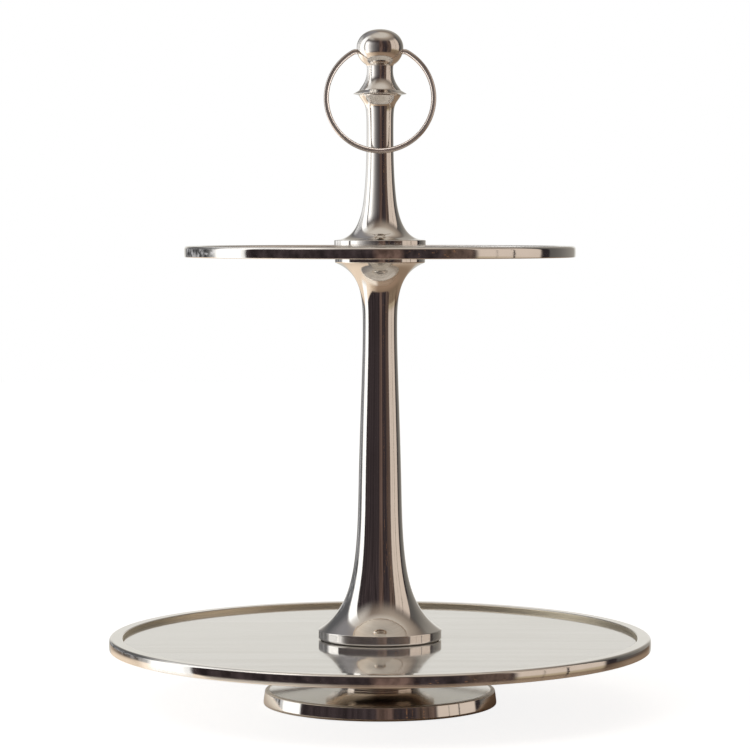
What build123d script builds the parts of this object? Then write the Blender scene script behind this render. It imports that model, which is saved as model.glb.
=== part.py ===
from build123d import *

import math
import os

# Two-tier cake stand in millimetres: axis on Z, resting on Z = 0, front towards -Y.
# Every metal piece is threaded on one tie rod and clamped between the nut and the finial.

# trays: a solid rim over the edge of a flat floor sheet
lower_tray_r = 178.0
upper_tray_r = 128.0
rim_w = 9.3
rim_h = 7.9
rim_top_round = 2.6
rim_inner_round = 0.6
rim_low_round = 0.9
floor_drop = 2.7
sheet_t = 1.5
sheet_edge_t = 0.75
sheet_lap = 4.2
seat_sink = 0.3

# foot with a low coned top, and the short pedestal spool that flares up from it
foot_r = 76.8
foot_h = 8.9
foot_rise = 3.5
foot_top_round = 0.8
foot_low_round = 1.4
spigot_r = 12.0
spigot_h = 5.0
relief_r = 46.0
relief_depth = 5.0
felt_t = 2.0
felt_proud = 0.8
felt_in_r = 52.0
felt_out_r = 71.0
spool_r = 36.8
spool_neck_r = 25.0
spool_h = 27.8
spool_band = 16.3

# lower column, heights from its own base
column_h = 253.4
column_base_r = 40.6
column_base_band = 6.3
column_waist_r = 11.3
column_waist_z = 205.3
column_mid_r = 14.26
column_mid_z = 95.3
column_top_r = 29.6
column_top_band = 6.0
column_bore_r = 8.0
base_bush_r = 30.0
top_bush_r = 18.0

# upper stem, heights from its own base
stem_h = 100.8
stem_base_r = 30.05
stem_base_band = 6.3
stem_mid_r = 10.7
stem_mid_z = 33.2
stem_waist_r = 8.8
stem_waist_z = 78.3
stem_top_r = 14.0
stem_bore_r = 5.5
stem_bush_r = 20.0
stem_bush_h = 5.5

# collar and finial
collar_h = 3.1
collar_r = 17.3
collar_edge_z = 0.7
collar_edge_t = 0.3
finial_foot_r = 13.7
neck_r = 8.5
neck_z = 13.3
ball_r = 15.3
ball_join_r = 8.65
ball_join_z = 16.34
ball_mid_z = 27.8
finial_h = 39.8
pivot_z = 25.2

# ring handle
ring_r = 35.0
wire_r = 1.7
ring_drop = 30.7
ring_bend_r = 4.0
pin_in = 9.3

# rod, nut and washers
rod_r = 4.0
rod_engage = 14.0
rod_below_nut = 0.6
nut_flats = 13.0
nut_h = 6.5
washer_r = 8.5
washer_t = 1.6
gasket_t = 0.6
gasket_inset = 1.6
pocket_r = 10.5
web_t = 4.5

# clearances and edge breaks
rod_clear = 0.3
thread_clear = 0.02
press_clear = 0.05
seat_clear = 0.4
sheet_clear = 0.1
pivot_clear = 0.05
pin_end_clear = 0.3
rest_gap = 0.3
edge_round = 0.5
flange_low_round = 1.2
end_chamfer = 0.6

# levels up the stack
foot_z = felt_proud
foot_edge_z = foot_z + foot_h
spool_z = foot_edge_z + foot_rise
lower_floor_z = spool_z + spool_h + gasket_t + sheet_t
column_z = lower_floor_z - seat_sink + gasket_t
upper_floor_z = column_z + column_h + gasket_t + sheet_t
stem_z = upper_floor_z - seat_sink + gasket_t
collar_z = stem_z + stem_h
finial_z = collar_z + collar_h
rod_hole_r = rod_r + rod_clear
thread_r = rod_r + thread_clear
washer_z = spool_z + spigot_h - web_t - washer_t
nut_z = washer_z - nut_h


# solid of revolution about Z from a closed chain of (radius, height) edges
def lathe(*edges):
    return revolve(Plane.XZ * make_face(Curve() + list(edges)), axis=Axis.Z)


# solid of revolution from corner points, each with its own rounding
def turned(corners, rounds):
    return lathe(FilletPolyline(*corners, radius=rounds, close=True))


# upright cylinder between two heights
def drum(radius, low, high):
    along = (Align.CENTER, Align.CENTER, Align.MIN)
    return Pos(0, 0, low) * Cylinder(radius, high - low, align=along)


# flat ring between two radii
def washer_ring(outer, inner, low, high):
    return drum(outer, low, high) - drum(inner, low, high)


# upright flange edge with a rounded lower and upper corner
def band(radius, low, high, low_round, top_round):
    return [
        CenterArc((radius - low_round, low + low_round), low_round, -90, 90),
        Line((radius, low + low_round), (radius, high - top_round)),
        CenterArc((radius - top_round, high - top_round), top_round, 0, 90),
    ]


# the same edge listed for a flange that hangs below a tray, its sharp corner on top
def top_band(radius, low, high, low_round):
    return [
        CenterArc((radius - low_round, low + low_round), low_round, -90, 90),
        Line((radius, low + low_round), (radius, high)),
    ]


# lower column outline: base flare, long taper, then the upper trumpet
def column_curves():
    base = (column_base_r - edge_round, column_base_band)
    mid = (column_mid_r, column_mid_z)
    waist = (column_waist_r, column_waist_z)
    top = (column_top_r - edge_round, column_h - column_top_band)
    return [
        Bezier(base, (base[0] - 21.6, base[1] + 14.0), (mid[0] + 1.0, mid[1] - 50.0), mid),
        Bezier(mid, (mid[0] - 1.0, mid[1] + 50.0), (waist[0], waist[1] - 25.0), waist),
        Bezier(waist, (waist[0], waist[1] + 20.0), (top[0] - 17.0, top[1] - 7.4), top),
    ]


# upper stem outline: base flare, taper, then the small flare under the collar
def stem_curves():
    base = (stem_base_r - edge_round, stem_base_band)
    mid = (stem_mid_r, stem_mid_z)
    waist = (stem_waist_r, stem_waist_z)
    top = (stem_top_r, stem_h)
    return [
        Bezier(base, (base[0] - 11.0, base[1] + 0.6), (mid[0] + 2.0, mid[1] - 17.4), mid),
        Bezier(mid, (mid[0] - 1.7, mid[1] + 14.6), (waist[0], waist[1] - 15.0), waist),
        Bezier(waist, (waist[0], waist[1] + 18.9), (top[0] - 4.4, top[1] - 7.3), top),
    ]


# radius of a curve chain at a height
def radius_at(curves, height):
    for curve in curves:
        if curve.position_at(0).Y <= height <= curve.position_at(1).Y:
            low, high = 0.0, 1.0
            for _ in range(40):
                mid = (low + high) / 2
                if curve.position_at(mid).Y < height:
                    low = mid
                else:
                    high = mid
            return curve.position_at(low).X


def make_foot():
    body = turned(
        [
            (0, foot_z),
            (foot_r, foot_z),
            (foot_r, foot_edge_z),
            (spool_neck_r, spool_z),
            (0, spool_z),
        ],
        [0, foot_low_round, foot_top_round, 0, 0],
    )
    body += drum(spigot_r, spool_z, spool_z + spigot_h)
    body -= drum(rod_hole_r, 0, spool_z + spigot_h)
    body -= drum(pocket_r, 0, washer_z + washer_t)
    body -= drum(relief_r, 0, foot_z + relief_depth)
    body -= washer_ring(felt_out_r, felt_in_r, 0, felt_t)
    return body


def make_foot_felt():
    return washer_ring(felt_out_r, felt_in_r, 0, felt_t)


def make_foot_washer():
    return washer_ring(washer_r, rod_hole_r, washer_z, washer_z + washer_t)


def make_foot_nut():
    hexagon = RegularPolygon(nut_flats / 2, 6, major_radius=False)
    body = Pos(0, 0, nut_z) * extrude(hexagon, nut_h)
    corner_r = nut_flats / 2 / math.cos(math.pi / 6)
    cut = corner_r - nut_flats / 2
    drop = cut * math.tan(math.radians(30))
    cone = turned(
        [
            (0, nut_z),
            (nut_flats / 2, nut_z),
            (corner_r, nut_z + drop),
            (corner_r, nut_z + nut_h),
            (0, nut_z + nut_h),
        ],
        [0, 0, 0, 0, 0],
    )
    return (body & cone) - drum(thread_r, nut_z, nut_z + nut_h)


def make_tie_rod():
    low = nut_z - rod_below_nut
    high = finial_z + rod_engage
    inner = rod_r - end_chamfer
    return turned(
        [
            (0, low),
            (inner, low),
            (rod_r, low + end_chamfer),
            (rod_r, high - end_chamfer),
            (inner, high),
            (0, high),
        ],
        [0, 0, 0, 0, 0, 0],
    )


def make_spool():
    neck = (spool_neck_r, 0)
    top = (spool_r - edge_round, spool_h - spool_band)
    body = Pos(0, 0, spool_z) * lathe(
        Line((0, 0), neck),
        Bezier(neck, (neck[0], 2.4), (top[0] - 10.3, top[1] - 3.5), top),
        *top_band(spool_r, spool_h - spool_band, spool_h, edge_round),
        Line((spool_r, spool_h), (0, spool_h)),
        Line((0, spool_h), (0, 0)),
    )
    body -= drum(spigot_r + press_clear, spool_z, spool_z + spigot_h + rest_gap)
    return body - drum(rod_hole_r, spool_z, spool_z + spool_h)


def make_gasket(radius, low):
    return washer_ring(radius - gasket_inset, rod_hole_r, low, low + gasket_t)


# rim: full height outside, a lip over the sheet's rebated edge inside
def make_rim(radius, floor):
    top = floor + floor_drop
    low = top - rim_h
    lip = radius - rim_w
    ledge = floor - sheet_t + sheet_edge_t
    seat = lip + sheet_lap + press_clear
    return turned(
        [(seat, low), (radius, low), (radius, top), (lip, top), (lip, ledge), (seat, ledge)],
        [0, rim_low_round, rim_top_round, rim_inner_round, 0, 0],
    )


# floor sheet: rebated edge under the rim's lip, sunk seat for the flange above
def make_sheet(radius, floor, flange_r):
    lip = radius - rim_w
    low = floor - sheet_t
    body = drum(lip - sheet_clear, low, floor)
    body += drum(lip + sheet_lap, low, low + sheet_edge_t)
    body -= drum(flange_r + seat_clear, floor - seat_sink, floor)
    return body - drum(rod_hole_r, low, floor)


def make_column():
    core = base_bush_r - column_bore_r
    throat = column_base_band + core * 1.85
    upper = column_h - column_top_band
    return Pos(0, 0, column_z) * lathe(
        Line((base_bush_r, 0), (column_base_r - flange_low_round, 0)),
        *band(column_base_r, 0, column_base_band, flange_low_round, edge_round),
        *column_curves(),
        *top_band(column_top_r, upper, column_h, edge_round),
        Polyline(
            (column_top_r, column_h),
            (top_bush_r, column_h),
            (top_bush_r, upper),
            (column_bore_r, upper - top_bush_r + column_bore_r),
            (column_bore_r, throat),
            (base_bush_r, column_base_band),
            (base_bush_r, 0),
        ),
    )


def make_bush(radius, low, height):
    return washer_ring(radius - press_clear, rod_hole_r, low, low + height)


def make_stem():
    throat = stem_bush_h + stem_bush_r - stem_bore_r
    shoulder = stem_h - web_t
    return Pos(0, 0, stem_z) * lathe(
        Line((stem_bush_r, 0), (stem_base_r - edge_round, 0)),
        *band(stem_base_r, 0, stem_base_band, edge_round, edge_round),
        *stem_curves(),
        Polyline(
            (stem_top_r, stem_h),
            (rod_hole_r, stem_h),
            (rod_hole_r, shoulder),
            (stem_bore_r, shoulder),
            (stem_bore_r, throat),
            (stem_bush_r, stem_bush_h),
            (stem_bush_r, 0),
        ),
    )


def make_collar():
    high = collar_edge_z + collar_edge_t
    return Pos(0, 0, collar_z) * turned(
        [
            (rod_hole_r, 0),
            (stem_top_r, 0),
            (collar_r, collar_edge_z),
            (collar_r, high),
            (finial_foot_r, collar_h),
            (rod_hole_r, collar_h),
        ],
        [0, 0, 0, 0, 0, 0],
    )


def make_finial():
    foot = (finial_foot_r, 0)
    neck = (neck_r, neck_z)
    join = (ball_join_r, ball_join_z)
    mid = (ball_r, ball_mid_z)
    top = (0, finial_h)
    body = Pos(0, 0, finial_z) * lathe(
        Line((0, 0), foot),
        Bezier(foot, (foot[0] - 0.93, 2.05), (neck[0], neck[1] - 7.8), neck),
        Line(neck, join),
        Bezier(join, (join[0] + 4.16, join[1] + 2.59), (mid[0], mid[1] - 4.58), mid),
        Bezier(mid, (mid[0], mid[1] + 5.5), (11.0, finial_h), top),
        Line(top, (0, 0)),
    )
    body -= drum(thread_r, finial_z, finial_z + rod_engage + end_chamfer)
    bore = Rot(0, 90, 0) * drum(wire_r + pivot_clear, pin_in - pin_end_clear, ball_r)
    bore += Rot(0, -90, 0) * drum(wire_r + pivot_clear, pin_in - pin_end_clear, ball_r)
    return body - Pos(0, 0, finial_z + pivot_z) * bore


# ring: two inturned pivot pins, a short bend at each, and the round bail between them
def make_ring():
    bend_x = math.sqrt((ring_r - ring_bend_r) ** 2 - (ring_drop - ring_bend_r) ** 2)
    turn = math.degrees(math.atan2(ring_drop - ring_bend_r, bend_x))
    path = Curve() + [
        Line((pin_in, 0), (bend_x, 0)),
        CenterArc((bend_x, -ring_bend_r), ring_bend_r, 90, turn - 90),
        CenterArc((0, -ring_drop), ring_r, turn, -180 - 2 * turn),
        CenterArc((-bend_x, -ring_bend_r), ring_bend_r, 180 - turn, turn - 90),
        Line((-bend_x, 0), (-pin_in, 0)),
    ]
    start = Plane(origin=(pin_in, 0, 0), z_dir=(1, 0, 0))
    hanging = sweep(start * Circle(wire_r), path=Plane.XZ * path)
    reach = ring_drop + ring_r
    pivot = finial_z + pivot_z
    lean_r = radius_at(stem_curves(), pivot - reach - stem_z + rest_gap)
    lean = math.degrees(math.asin((lean_r + wire_r + rest_gap) / reach))
    print("ring lean from hanging straight, degrees:", round(lean, 3))
    return Pos(0, 0, pivot) * Rot(-lean, 0, 0) * hanging


nodes = {
    "foot_disc": make_foot(),
    "foot_felt": make_foot_felt(),
    "foot_washer": make_foot_washer(),
    "foot_nut": make_foot_nut(),
    "tie_rod": make_tie_rod(),
    "pedestal_spool": make_spool(),
    "pedestal_gasket": make_gasket(spool_r, spool_z + spool_h),
    "lower_tray_rim": make_rim(lower_tray_r, lower_floor_z),
    "lower_tray_floor": make_sheet(lower_tray_r, lower_floor_z, column_base_r),
    "column_base_gasket": make_gasket(column_base_r, column_z - gasket_t),
    "lower_column": make_column(),
    "column_base_bush": make_bush(base_bush_r, column_z, column_base_band),
    "column_top_bush": make_bush(top_bush_r, column_z + column_h - column_top_band, column_top_band),
    "column_top_gasket": make_gasket(column_top_r, column_z + column_h),
    "upper_tray_rim": make_rim(upper_tray_r, upper_floor_z),
    "upper_tray_floor": make_sheet(upper_tray_r, upper_floor_z, stem_base_r),
    "stem_base_gasket": make_gasket(stem_base_r, stem_z - gasket_t),
    "upper_stem": make_stem(),
    "stem_base_bush": make_bush(stem_bush_r, stem_z, stem_bush_h),
    "finial_collar": make_collar(),
    "finial": make_finial(),
    "ring_handle": make_ring(),
}

os.makedirs("parts", exist_ok=True)
for name, solid in nodes.items():
    export_step(solid, f"parts/{name}.step")
    box = solid.bounding_box()
    print(name, round(solid.volume), [round(v, 2) for v in (*box.min, *box.max)])
levels = (spool_z, lower_floor_z, column_z, upper_floor_z, stem_z, collar_z, finial_z)
print("levels", [round(v, 2) for v in levels])
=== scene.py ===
import math
import bpy
import numpy as np
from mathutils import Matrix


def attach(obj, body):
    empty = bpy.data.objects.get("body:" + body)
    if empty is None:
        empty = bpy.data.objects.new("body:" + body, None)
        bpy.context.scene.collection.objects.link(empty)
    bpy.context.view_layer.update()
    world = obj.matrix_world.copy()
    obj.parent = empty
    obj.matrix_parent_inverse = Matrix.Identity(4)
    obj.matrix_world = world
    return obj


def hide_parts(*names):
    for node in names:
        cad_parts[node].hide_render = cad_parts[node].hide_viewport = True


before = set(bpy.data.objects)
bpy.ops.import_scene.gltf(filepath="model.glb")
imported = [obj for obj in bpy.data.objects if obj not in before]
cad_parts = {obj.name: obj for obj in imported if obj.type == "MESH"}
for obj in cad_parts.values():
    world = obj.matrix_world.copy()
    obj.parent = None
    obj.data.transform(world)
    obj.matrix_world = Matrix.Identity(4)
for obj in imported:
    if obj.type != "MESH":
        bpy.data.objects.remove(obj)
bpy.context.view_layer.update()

scene = bpy.context.scene
scene.view_settings.view_transform = "Standard"
print("frame loaded:", len(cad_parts), "nodes")

mm = 0.001  # shapes are written in millimetres, meshes and looks in metres


# unit direction from one profile point to another: their difference over its length
def heading(start, end):
    way = np.array(end, float) - np.array(start, float)
    return way / np.linalg.norm(way)


# corners joined by straight runs, each corner replaced by an arc of its own radius:
# the arc starts radius / tan(half the angle) from the corner, and a point held just inside
# each end of a long straight run keeps it flat
def roundedRun(corners, rounds, closed=True, arcSteps=7, hold=0.12):
    points = np.array(corners, float)
    count = len(points)
    rows = []
    for i in range(count):
        if not closed and i in (0, count - 1):
            rows.append(points[i:i + 1])
            continue
        back = heading(points[i], points[i - 1])
        ahead = heading(points[i], points[(i + 1) % count])
        half = np.arccos(np.clip(back @ ahead, -1, 1)) / 2
        reach = rounds[i] / np.tan(half)
        middle = (back + ahead) / np.linalg.norm(back + ahead)
        centre = points[i] + middle * rounds[i] / np.sin(half)
        first = points[i] + back * reach - centre
        last = points[i] + ahead * reach - centre
        sweep = np.pi - 2 * half
        share = np.linspace(0, 1, arcSteps)[:, None]
        arc = (np.sin((1 - share) * sweep) * first + np.sin(share * sweep) * last) / np.sin(sweep)
        rows.append(centre + arc)
    run = [rows[0]]
    for here, there in zip(rows, rows[1:] + ([rows[0]] if closed else [])):
        gap = there[0] - here[-1]
        length = np.linalg.norm(gap)
        if length > 4 * hold:
            run.append(here[-1] + gap * (hold / length))
            run.append(there[0] - gap * (hold / length))
        if there is not rows[0]:
            run.append(there)
    return np.vstack(run)


# the same for an open run: only the corners between its two ends are rounded
def openRun(corners, *rounds, arcSteps=7):
    return roundedRun(corners, [0, *rounds, 0], closed=False, arcSteps=arcSteps)


# cubic curve: four points weighted by (1-t)^3, 3t(1-t)^2, 3t^2(1-t) and t^3
def cubicRun(start, lean, pull, end, steps):
    t = np.linspace(0, 1, steps)[:, None]
    p = [np.array(point, float) for point in (start, lean, pull, end)]
    firstHalf = (1 - t) ** 3 * p[0] + 3 * t * (1 - t) ** 2 * p[1]
    return firstHalf + 3 * t * t * (1 - t) * p[2] + t ** 3 * p[3]


# runs laid end to end, leaving out a point that repeats the one before it
def joinRuns(*runs, apart=1e-4):
    points = np.vstack(runs)
    keep = np.r_[True, np.linalg.norm(np.diff(points, axis=0), axis=1) > apart]
    return points[keep]


# angles of a full turn in equal steps, the last one short of the first
def fullTurn(steps):
    return np.linspace(0, 2 * np.pi, steps, endpoint=False)


# grid of rows by columns into quads, wrapped round the columns and, for a loop, the rows
def gridQuads(rows, cols, loop):
    row = np.arange(rows if loop else rows - 1)[:, None]
    col = np.arange(cols)[None, :]
    up = (row + 1) % rows
    side = (col + 1) % cols
    quads = np.stack([row * cols + col, row * cols + side, up * cols + side, up * cols + col], axis=-1)
    return quads.reshape(-1, 4)


# the two end rings of an open grid, as one polygon each
def endCaps(rows, cols):
    return np.stack([np.arange(cols)[::-1], (rows - 1) * cols + np.arange(cols)])


# mesh from a vertex array and arrays of polygons, smooth shaded
def meshFrom(name, verts, *polys):
    mesh = bpy.data.meshes.new(name)
    mesh.vertices.add(len(verts))
    mesh.vertices.foreach_set("co", (verts * mm).astype(np.float32).ravel())
    loops = np.concatenate([p.ravel() for p in polys])
    sizes = np.concatenate([np.full(len(p), p.shape[1]) for p in polys])
    starts = np.r_[0, np.cumsum(sizes)[:-1]]
    mesh.loops.add(len(loops))
    mesh.loops.foreach_set("vertex_index", loops.astype(np.int32))
    mesh.polygons.add(len(sizes))
    mesh.polygons.foreach_set("loop_start", starts.astype(np.int32))
    mesh.update(calc_edges=True)
    mesh.validate()
    mesh.shade_smooth()
    piece = bpy.data.objects.new(name, mesh)
    scene.collection.objects.link(piece)
    return piece


# lathe: each profile point (r, z) turned to (r cos a, r sin a, z); an end on the axis becomes one point
def turnedPiece(name, profile, steps, loop=True):
    a = fullTurn(steps)
    body = profile if loop else profile[1:-1]
    heights = np.repeat(body[:, 1:], steps, axis=1)
    grid = np.stack([body[:, :1] * np.cos(a), body[:, :1] * np.sin(a), heights], axis=-1).reshape(-1, 3)
    quads = gridQuads(len(body), steps, loop)
    if loop:
        return meshFrom(name, grid, quads)
    low, high = len(grid), len(grid) + 1
    verts = np.vstack([grid, [[0, 0, profile[0, 1]], [0, 0, profile[-1, 1]]]])
    col = np.arange(steps)
    side = (col + 1) % steps
    top = (len(body) - 1) * steps
    foot = np.stack([np.full(steps, low), side, col], axis=-1)
    cap = np.stack([top + col, top + side, np.full(steps, high)], axis=-1)
    return meshFrom(name, verts, quads, foot, cap)


# the piece takes the place of its CAD node, rides on its body and takes its finish
def fitted(piece, node, body, material):
    piece.data.materials.append(material)
    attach(piece, body)
    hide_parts(node)


# shader node: settings go to its properties, and a link or a plain value to each socket named,
# where i0, i1 and so on name a socket by its number
def addNode(tree, kind, settings=None, **inputs):
    node = tree.nodes.new(kind)
    for key, value in (settings or {}).items():
        setattr(node, key, value)
    for key, value in inputs.items():
        numbered = key[0] == "i" and key[1:].isdigit()
        socket = node.inputs[int(key[1:]) if numbered else key]
        if hasattr(value, "is_output"):
            tree.links.new(value, socket)
        else:
            socket.default_value = value
    return node


# maths on one or two values, by the node's own name for the operation
def mathNode(tree, operation, first, second=0.0):
    return addNode(tree, "ShaderNodeMath", {"operation": operation}, i0=first, i1=second).outputs[0]


# maths on two vectors, by the node's own name for the operation
def vectorNode(tree, operation, first, second):
    return addNode(tree, "ShaderNodeVectorMath", {"operation": operation}, i0=first, i1=second).outputs


# first times second
def times(tree, first, second):
    return mathNode(tree, "MULTIPLY", first, second)


# first plus second
def plus(tree, first, second):
    return mathNode(tree, "ADD", first, second)


# the larger of two values
def larger(tree, first, second):
    return mathNode(tree, "MAXIMUM", first, second)


# the three axes of a vector
def axesOf(tree, vector):
    return addNode(tree, "ShaderNodeSeparateXYZ", i0=vector).outputs


# a vector from its three axes
def vectorOf(tree, first, second, third):
    return addNode(tree, "ShaderNodeCombineXYZ", i0=first, i1=second, i2=third).outputs[0]


# place on the piece
def placeOf(tree):
    return addNode(tree, "ShaderNodeTexCoord").outputs["Object"]


# angle round the stand in radians, from the camera's side and to its right: arctan of x over minus y
def turnOf(tree, axes):
    return mathNode(tree, "ARCTAN2", axes[0], times(tree, axes[1], -1.0))


# the same angle in degrees
def degreesOf(tree, turn):
    return times(tree, turn, 180 / math.pi)


# 1 for what the metal mirrors or glass lets through, 0 for all else
def mirroredRays(tree, rays):
    return larger(tree, rays["Is Glossy Ray"], rays["Is Transmission Ray"])


# value carried from one span to another, eased at both ends
def easedRange(tree, value, fromLow, fromHigh, toLow=0.0, toHigh=1.0):
    node = addNode(tree, "ShaderNodeMapRange", {"interpolation_type": "SMOOTHSTEP"}, i0=value)
    limits = {"From Min": fromLow, "From Max": fromHigh, "To Min": toLow, "To Max": toHigh}
    for name, number in limits.items():
        node.inputs[name].default_value = number
    return node.outputs[0]


# share that is 1 between two limits and eases to 0 outside them
def between(tree, value, low, high, soft):
    rise = easedRange(tree, value, low - soft, low + soft)
    fall = easedRange(tree, value, high - soft, high + soft, 1.0, 0.0)
    return times(tree, rise, fall)


# first colour taken towards the second, or multiplied by it, by a share;
# the node has its colours on sockets 6 and 7 and its result on output 2
def mixColour(tree, share, first, second, blend="MIX"):
    node = addNode(tree, "ShaderNodeMix", {"data_type": "RGBA", "blend_type": blend}, i0=share)
    for index, value in ((6, first), (7, second)):
        if hasattr(value, "is_output"):
            tree.links.new(value, node.inputs[index])
        else:
            node.inputs[index].default_value = (*value, 1)
    return node.outputs[2]


# noise at a place: its scale, its octaves and how much of the last each octave keeps
def noiseNode(tree, place, scale, octaves, keeps):
    settings = dict(Vector=place, Scale=scale, Detail=octaves, Roughness=keeps)
    return addNode(tree, "ShaderNodeTexNoise", **settings).outputs[0]


# noise at a place that is first stretched on each axis
def stretchedNoise(tree, place, stretch, noise):
    stretched = addNode(tree, "ShaderNodeMapping", i0=place, Scale=stretch).outputs[0]
    return noiseNode(tree, stretched, *noise)


# empty material with its node tree and its shader
def newMaterial(name):
    material = bpy.data.materials.new(name)
    material.use_nodes = True
    tree = material.node_tree
    return material, tree, tree.nodes["Principled BSDF"]


# turned nickel, with each noise as scale, octaves and what they keep
turnedNickel = dict(
    tintPale=(0.85, 0.825, 0.785), tintDeep=(0.79, 0.76, 0.715), tintSpan=(0.32, 0.68), axisR=0.0005,
    cloud=(26.0, 4.0, 0.55), wearSpan=(0.3, 0.7), roughLow=0.03, roughHigh=0.08,
    rings=(1.0, 3.0, 0.6), ringScale=900.0, ringTurn=2.2, ringSlant=0.6, ringBump=0.03, ringDeep=0.0002,
    peel=(420.0, 2.0, 0.5), orangePeel=0.012, peelDeep=0.0004,
)


# x/r and y/r change slowly round the piece while height and radius change fast,
# so the noise drawn on them runs in fine rings, as polishing leaves them
def makeTurnedNickel(name, look):
    material, tree, shader = newMaterial(name)
    place = placeOf(tree)
    axes = axesOf(tree, place)
    square = plus(tree, times(tree, axes[0], axes[0]), times(tree, axes[1], axes[1]))
    radius = larger(tree, mathNode(tree, "SQRT", square), look["axisR"])
    roundX = times(tree, mathNode(tree, "DIVIDE", axes[0], radius), look["ringTurn"])
    roundY = times(tree, mathNode(tree, "DIVIDE", axes[1], radius), look["ringTurn"])
    along = plus(tree, axes[2], times(tree, radius, look["ringSlant"]))
    ringPlace = vectorOf(tree, roundX, roundY, times(tree, along, look["ringScale"]))
    rings = noiseNode(tree, ringPlace, *look["rings"])
    cloud = noiseNode(tree, place, *look["cloud"])
    peel = noiseNode(tree, place, *look["peel"])
    tint = mixColour(tree, easedRange(tree, cloud, *look["tintSpan"]), look["tintDeep"], look["tintPale"])
    wear = times(tree, plus(tree, cloud, rings), 0.5)  # their mean
    rough = easedRange(tree, wear, *look["wearSpan"], look["roughLow"], look["roughHigh"])
    if "tarnishR" in look:  # another tint and a rougher surface inside this radius
        tarnishEdge = [look["tarnishR"] + past for past in look["tarnishPast"]]
        inside = easedRange(tree, radius, *tarnishEdge)
        tint = mixColour(tree, inside, tint, look["tarnish"])
        rough = plus(tree, rough, times(tree, inside, look["tarnishRough"]))
    if "satinZ" in look:  # softer polish above this height, with a rough line at it
        satinTop = look["satinZ"] + look["satinSoft"]
        satin = easedRange(tree, axes[2], look["satinZ"], satinTop, 0.0, look["satin"])
        edge = mathNode(tree, "COMPARE", axes[2], look["satinZ"])
        edge.node.inputs[2].default_value = look["edgeHalf"]
        rough = plus(tree, rough, plus(tree, satin, times(tree, edge, look["edgeRough"])))
    tree.links.new(tint, shader.inputs["Base Color"])
    tree.links.new(rough, shader.inputs["Roughness"])
    ringSettings = dict(Strength=look["ringBump"], Distance=look["ringDeep"], Height=rings)
    ringBump = addNode(tree, "ShaderNodeBump", **ringSettings).outputs[0]
    peelSettings = dict(Strength=look["orangePeel"], Distance=look["peelDeep"], Height=peel, Normal=ringBump)
    tree.links.new(addNode(tree, "ShaderNodeBump", **peelSettings).outputs[0], shader.inputs["Normal"])
    shader.inputs["Metallic"].default_value = 1.0
    return material


# sheet nickel, with each noise as scale, octaves and what they keep
sheetNickel = dict(
    tintPale=(0.88, 0.87, 0.85), tintDeep=(0.74, 0.72, 0.68), mixSpan=(0.35, 0.65), metallic=0.8,
    roughLow=0.04, roughHigh=0.10, underSpan=(0.0, -0.5), cloud=(14.0, 4.0, 0.5), cloudShare=0.25,
    grain=(1.0, 5.0, 0.65), grainStretch=(3.0, 420.0, 40.0), grainShare=0.3,
    grainBump=0.015, grainDeep=0.0002,
    streak=(1.0, 4.0, 0.6), streakStretch=(2.4, 85.0, 40.0), streakShare=0.45,
)


# grain and streaks are noise stretched along X, so that they run straight across the tray;
# their weighted sum with a cloud drives tint and roughness, and the back is rougher
def makeSheetNickel(name, look):
    material, tree, shader = newMaterial(name)
    place = placeOf(tree)
    grain = stretchedNoise(tree, place, look["grainStretch"], look["grain"])
    streak = stretchedNoise(tree, place, look["streakStretch"], look["streak"])
    cloud = noiseNode(tree, place, *look["cloud"])
    lines = plus(tree, times(tree, grain, look["grainShare"]), times(tree, streak, look["streakShare"]))
    mixed = plus(tree, lines, times(tree, cloud, look["cloudShare"]))
    tint = mixColour(tree, easedRange(tree, mixed, *look["mixSpan"]), look["tintDeep"], look["tintPale"])
    tree.links.new(tint, shader.inputs["Base Color"])
    polish = easedRange(tree, mixed, *look["mixSpan"], look["roughLow"], look["roughHigh"])
    facing = axesOf(tree, addNode(tree, "ShaderNodeNewGeometry").outputs["True Normal"])[2]
    under = easedRange(tree, facing, *look["underSpan"], 0.0, look["underRough"])
    tree.links.new(larger(tree, polish, under), shader.inputs["Roughness"])
    bumpSettings = dict(Strength=look["grainBump"], Distance=look["grainDeep"], Height=grain)
    tree.links.new(addNode(tree, "ShaderNodeBump", **bumpSettings).outputs[0], shader.inputs["Normal"])
    shader.inputs["Metallic"].default_value = look["metallic"]  # the rest is the sheet's pale haze
    return material


wireNickel = dict(
    turnedNickel, tintPale=(0.70, 0.63, 0.58), tintDeep=(0.60, 0.53, 0.48),
    roughLow=0.10, roughHigh=0.16, ringBump=0.004, orangePeel=0.002,
)
footNickel = dict(turnedNickel, satinZ=0.0095, satinSoft=0.0003, satin=0.06, edgeHalf=0.0004, edgeRough=0.3)
# the spool's nickel has a darker tint than the rest: painted shade for the deep shade under the lower tray
spoolPaintedShadeNickel = dict(
    turnedNickel, tintPale=(0.62, 0.56, 0.50), tintDeep=(0.54, 0.48, 0.42), roughLow=0.07, roughHigh=0.13,
)
castFinish = makeTurnedNickel("turnedNickel", turnedNickel)
columnFinish = makeTurnedNickel("columnNickel", dict(turnedNickel, roughLow=0.04, roughHigh=0.10))
ballFinish = makeTurnedNickel("ballNickel", dict(turnedNickel, roughLow=0.09, roughHigh=0.16))
wireFinish = makeTurnedNickel("wireNickel", wireNickel)
footFinish = makeTurnedNickel("footNickel", footNickel)
spoolPaintedShadeFinish = makeTurnedNickel("spoolPaintedShadeNickel", spoolPaintedShadeNickel)
print("finishes made")

# foot disc: crowned edge, low coned top, spigot, and underneath a relief, a felt groove and the nut's pocket
footShape = dict(
    low=0.8, edgeTop=9.7, top=13.2, radius=76.8, neckR=25.0, around=256,
    crownLow=0.12, crownTop=1.05, widest=0.13, lowRound=0.5, crownRound=3.0, topRound=0.8, smallRound=0.15,
    reliefR=46.0, reliefTop=5.8, feltIn=52.0, feltOut=71.0, feltTop=2.0,
    spigotR=12.0, spigotTop=18.2, holeR=4.3, pocketR=10.5, pocketTop=13.7,
)


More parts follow.
